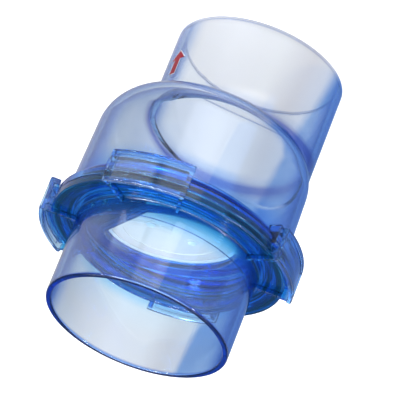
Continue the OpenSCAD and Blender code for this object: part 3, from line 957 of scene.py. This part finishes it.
def make_flap(material):
    """The flap disc with its edge rib, two long ribs and the two knuckles that turn on the pin."""
    flap = slab("flap", d_outline(FLAP_R), FLAP_LOW, FLAP_TOP, edge=0.7)
    rib = slab("edge_rib", d_outline(EDGE_RIB_R), RIB_LOW, RIB_TOP, edge=0.4)
    cut(rib, slab("rib_room", d_outline(EDGE_RIB_R - RIB_W), FAR_BELOW, -5))
    join(flap, rib)
    for side in (-1, 1):
        x = side * LONG_RIB_X
        strip = box_outline(x - RIB_W / 2, LONG_RIB_FROM, x + RIB_W / 2, LONG_RIB_TO)
        join(flap, slab("long_rib", strip, RIB_LOW, RIB_TOP, edge=0.4))
        start, end = sorted((side * KNUCKLE_OUT, side * (KNUCKLE_OUT - KNUCKLE_W)))
        arm = slab("arm", box_outline(start, ARM_FROM, end, PIN_Y), PIN_Z, ARM_TOP, edge=0.35)
        join(flap, arm, rod("knuckle", KNUCKLE_R, start, end, PIN_Y, PIN_Z, edge=0.4))
    cut(flap, rod("pin_hole", HOLE_R, -HOLE_HALF, HOLE_HALF, PIN_Y, PIN_Z))
    for y in (-RIVET_Y, RIVET_Y):
        cut(flap, drum("rivet_hole", RIVET_HOLE_R, FAR_BELOW, 0, y, steps=SMALL_STEPS))
    return finish(on_seat(flap), "flap", "clear_pale_plastic", material, "flap_disc")


def make_flap_seal(material):
    """The flat rubber ring, with a round sealing bead moulded near its outer edge."""
    seal = slab("seal", d_outline(SEAL_R), SEAL_LOW, SEAL_TOP, edge=0.4)
    cut(seal, slab("seal_room", d_outline(RETAINER_R + 0.2), FAR_BELOW, 0))
    bead = slab("bead", d_outline(BEAD_R), SEAL_TOP - 1, BEAD_TOP, edge=0.5)
    cut(bead, slab("bead_room", d_outline(BEAD_R - BEAD_W), FAR_BELOW, 0))
    join(seal, bead)
    return finish(on_seat(seal), "flap", "dark_rubber", material, "flap_seal")


def make_retainer(material):
    """The plate that holds the seal's inner edge, with a shallow dish in its middle."""
    plate = slab("retainer", d_outline(RETAINER_R), RETAINER_LOW, RETAINER_TOP, edge=0.5)
    cut(plate, slab("dish", d_outline(DISH_R, cut_off=DISH_CUT), DISH_LOW, -4, edge=0.4))
    for y in (-RIVET_Y, RIVET_Y):
        join(plate, drum("boss", BOSS_R, -7, RETAINER_TOP, y, steps=SMALL_STEPS, edge=0.3))
        cut(plate, drum("rivet_hole", RIVET_HOLE_R, FAR_BELOW, 0, y, steps=SMALL_STEPS))
    return finish(on_seat(plate), "flap", "clear_pale_plastic", material, "seal_retainer")


def make_rivets(material):
    """Two moulded rivets with domed heads."""
    shank, head = 1.6, 2.7
    outline = rounded([(0, -12.1, 0), (shank, -12.1, 0.3), (head, -11.6, 0.3), (head, -11.12, 0.1),
                       (shank, -11.12, 0), (shank, -5.58, 0), (head, -5.58, 0.1), (head, -5.1, 0.3),
                       (shank, -4.6, 0.3), (0, -4.6, 0)])
    rivets = turned("rivets", outline, -RIVET_Y, steps=SMALL_STEPS)
    join(rivets, turned("rivet", outline, RIVET_Y, steps=SMALL_STEPS))
    return finish(on_seat(rivets), "flap", "rivet_plastic", material, "retainer_rivets")


def make_bracket(material):
    """The hinge bracket: a base that follows the sleeve's bore, and two ears with round ends."""
    base = box_outline(-EAR_OUT, BASE_FROM, EAR_OUT, BASE_TO)
    bracket = slab("bracket", base, BASE_LOW, BASE_TOP, edge=0.4)
    for start in (-EAR_OUT, EAR_OUT - EAR_T):
        foot = slab("foot", box_outline(start, PIN_Y - EAR_R, start + EAR_T, PIN_Y + EAR_R), PIN_Z, -5)
        join(bracket, join(foot, rod("ear", EAR_R, start, start + EAR_T, PIN_Y, PIN_Z)))
    for x in (-14, 14):
        join(bracket, slab("rib", box_outline(x - 0.8, 40, x + 0.8, 50), -7.2, -6, edge=0.25))
    cut(bracket, rod("pin_hole", HOLE_R, -HOLE_HALF, HOLE_HALF, PIN_Y, PIN_Z))
    bracket.data.transform(SEAT)
    combine(bracket, drum("bracket_space", BRACKET_SPACE_R, 123, 156), "INTERSECT")
    round_edges(bracket, 0.25)
    return finish(bracket, "inlet", "teal_plastic", material, "hinge_bracket")


def make_screw(name, x):
    """A pan-head screw with a cross recess, in the seat's frame."""
    shank, head = 1.5, 2.7
    outline = [(0, -8.4, 0), (head, -8.4, 1.1), (head, -6.38, 0.15), (shank, -6.38, 0), (shank, -0.8, 0.4),
               (0, -0.8, 0)]
    screw = turned(name, rounded(outline), steps=SMALL_STEPS)
    long_half, short_half = 1.5, 0.3
    for a, b in ((long_half, short_half), (short_half, long_half)):
        cut(screw, slab("recess", box_outline(-a, -b, a, b), -9, -7.5))
    screw.data.transform(Matrix.Translation((x * MM, SCREW_Y * MM, 0)))
    return screw


def make_screws(material):
    """The two screws that hold the bracket on the seat."""
    screws = make_screw("screws", -SCREW_X)
    join(screws, make_screw("screw", SCREW_X))
    return finish(on_seat(screws), "inlet", "stainless", material, "bracket_screws")


def make_pin(material):
    """The hinge pin, with rounded ends."""
    pin = rod("pin", PIN_R, -PIN_HALF, PIN_HALF, PIN_Y, PIN_Z, edge=0.5)
    return finish(on_seat(pin), "inlet", "stainless", material, "hinge_pin")


def make_clip(name, x, material):
    """A spring clip: a flat ring with a mouth, which is wider on its inside than on its outside."""
    outline = arc(CLIP_R, -CLIP_OUT_END, CLIP_OUT_END, CLIP_STEPS)
    outline += arc(CLIP_BORE, CLIP_IN_END, -CLIP_IN_END, CLIP_STEPS)
    clip = slab(name, outline, 0, CLIP_T, edge=0.15)
    on_pin = Matrix.Translation((x * MM, PIN_Y * MM, PIN_Z * MM))
    clip.data.transform(on_pin @ Matrix.Rotation(math.radians(90), 4, "Y"))
    return finish(on_seat(clip), "inlet", "spring_steel", material, "pin_" + name)


def make_ring(name, radius, height, cord, material, node):
    """An O-ring with a fine mould line round its outside."""
    sides = 32
    mould_line = 0.05
    points = []
    for i in range(sides):
        angle = 2 * math.pi * i / sides
        size = cord / 2 - (0.0 if i == 0 else mould_line)
        points.append((radius + size * math.cos(angle), height + size * math.sin(angle)))
    return finish(turned(name, points), "inlet", "black_rubber", material, node)


ARROW_TIP = 22
ARROW_NECK = 29
ARROW_TAIL = 41
ARROW_HEAD_HALF = 7.8
ARROW_SHAFT_HALF = 3.25


def make_arrow(name, margin, low, high, material):
    """A printed arrow, wrapped round the spigot's hinge side between two radii. It points at the outlet's end.
    The margin draws its outline in."""
    tip, neck, tail = ARROW_TIP + margin * 1.5, ARROW_NECK + margin * 0.4, ARROW_TAIL - margin
    head, shaft = ARROW_HEAD_HALF - margin * 1.5, ARROW_SHAFT_HALF - margin
    outline = [(0, tip), (head, neck), (shaft, neck), (shaft, tail), (-shaft, tail), (-shaft, neck),
               (-head, neck)]
    prism = slab(name, outline, -60, -40)
    prism.data.transform(Matrix.Rotation(math.radians(90), 4, "X"))
    print_layer = turned("print_layer", box_outline(low, 15, high, 50), steps=2 * ROUND_STEPS)
    combine(prism, print_layer, "INTERSECT")
    prism.data.transform(Matrix.Translation((0, SPIGOT_Y * MM, 0)))
    return finish(prism, "chamber", "red_print", material)


# ---------------------------------------------------------------- assembly

# A stop's position is its share of the valve's height, from the outlet's end up.
CHAMBER_STOPS = ((0.0, (0.97, 0.97, 0.975)), (0.24, (0.94, 0.945, 0.96)), (0.27, (0.78, 0.83, 0.92)),
                 (0.56, (0.78, 0.84, 0.92)), (0.62, (0.4, 0.62, 0.95)), (0.66, (0.22, 0.5, 0.96)))
INLET_STOPS = ((0.6, (0.16, 0.54, 0.96)), (0.7, (0.1, 0.48, 0.95)), (0.715, (0.05, 0.42, 0.74)),
               (0.74, (0.07, 0.5, 0.88)), (0.76, (0.28, 0.68, 0.98)), (0.81, (0.78, 0.88, 0.95)),
               (0.9, (0.9, 0.92, 0.95)), (1.0, (0.93, 0.94, 0.96)))
# What thick plastic lets through, and how fast the light is lost in each half.
ABSORBED = (0.0, 0.57, 0.95)
CHAMBER_DENSITY = 12
INLET_DENSITY = 32
OUTLET_RIM = (0.1, 0.18, 0.5)
INLET_RIM = (0.06, 0.2, 0.75)
JOINT_FROST = 0.22

make_camera()
make_studio()
moulding = make_moulding()
grain = make_grain()

chamber_blue = clear_plastic("clear_blue_chamber", CHAMBER_STOPS, ABSORBED, CHAMBER_DENSITY, moulding,
                             OUTLET_RIM)
inlet_blue = clear_plastic("clear_blue_inlet", INLET_STOPS, ABSORBED, INLET_DENSITY, moulding, INLET_RIM,
                           frost=JOINT_FROST)
pale = pale_plastic("clear_pale_plastic", (0.86, 0.9, 0.88), (0.95, 0.95, 0.91), moulding)
o_ring_rubber = rubber("black_rubber", (0.006, 0.007, 0.011), (0.016, 0.018, 0.026), grain)
seal_rubber = rubber("milky_rubber", (0.6, 0.72, 0.8), (0.75, 0.84, 0.9), grain)
teal = solid_plastic("teal_plastic", (0.01, 0.1, 0.22), (0.03, 0.16, 0.3), grain)
steel = metal("stainless", (0.5, 0.5, 0.52), (0.66, 0.66, 0.68), grain, (1, 0, 0))
spring = metal("spring_steel", (0.1, 0.11, 0.14), (0.24, 0.25, 0.29), grain, (0, 1, 0))
rivet_white = solid_plastic("rivet_plastic", (0.5, 0.62, 0.72), (0.7, 0.8, 0.88), grain)
red = ink("red_print", (0.36, 0.002, 0.016), (0.46, 0.02, 0.045), grain)
white = ink("white_print", (0.85, 0.86, 0.88), (0.7, 0.74, 0.8), grain)

make_chamber(chamber_blue)
make_inlet(inlet_blue)
make_flap(pale)
make_flap_seal(seal_rubber)
make_retainer(pale)
make_rivets(rivet_white)
make_bracket(teal)
make_screws(steel)
make_pin(steel)
make_clip("clip_left", -EAR_OUT - CLIP_T, spring)
make_clip("clip_right", EAR_OUT, spring)
make_ring("face_ring", FACE_RING_R, FACE_RING_Z, FACE_RING_CORD, o_ring_rubber, "face_o_ring")
make_ring("plug_ring", PLUG_RING_R, PLUG_RING_Z, PLUG_RING_CORD, o_ring_rubber, "plug_o_ring")
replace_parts(make_arrow("arrow_edge", 0.0, 54.8, 55.06, white), "flow_arrow")
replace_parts(make_arrow("arrow_face", 0.5, 54.9, 55.12, red), "flow_arrow")
